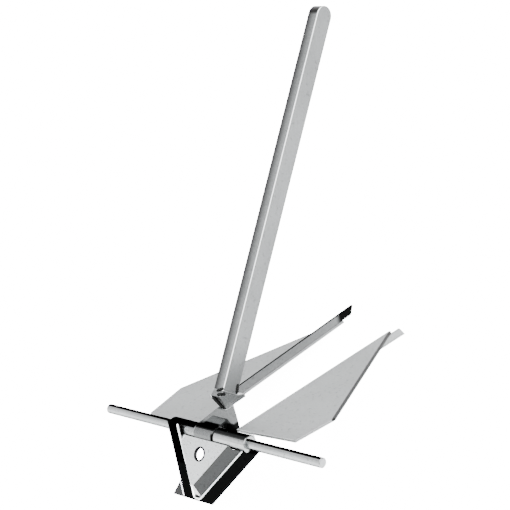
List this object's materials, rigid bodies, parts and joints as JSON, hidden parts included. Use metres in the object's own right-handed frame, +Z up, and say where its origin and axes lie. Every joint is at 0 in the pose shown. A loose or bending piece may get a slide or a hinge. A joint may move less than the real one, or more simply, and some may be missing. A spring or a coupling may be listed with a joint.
{
  "type": "fluke anchor",
  "caption": "Stainless steel fluke anchor with a stock through its crown, a pressed tripping palm and a shank that swings about the stock.",
  "frame": {"origin": "centre of the footprint box, on the level surface the anchor stands on", "axes": "+Z up; +Y the way the fluke tips point; +X along the stock towards its higher end, seen from above"},
  "size_m": [0.3908, 0.5076, 0.4141],
  "materials": {
    "polished_steel": "mirror polished stainless steel",
    "plate_steel": "finely polished stainless plate",
    "cast_steel": "polished stainless casting"
  },
  "bodies": {
    "crown": {"stock_rod": "polished_steel", "left_hub_tube": "polished_steel", "left_fluke": "plate_steel", "left_fluke_rib": "plate_steel", "right_hub_tube": "polished_steel", "right_fluke": "plate_steel", "right_fluke_rib": "plate_steel", "palm": "polished_steel", "palm_toe": "plate_steel"},
    "shank": {"shank_bar": "plate_steel", "shank_foot": "cast_steel", "shank_head": "cast_steel"}
  },
  "joints": [
    {"name": "shank_hinge", "type": "hinge", "parent": "crown", "child": "shank", "pos_m": [0, -0.19248, 0.07125], "axis": [0.9711, 0.0246, 0.2372], "range_deg": [-44, 0]}
  ]
}
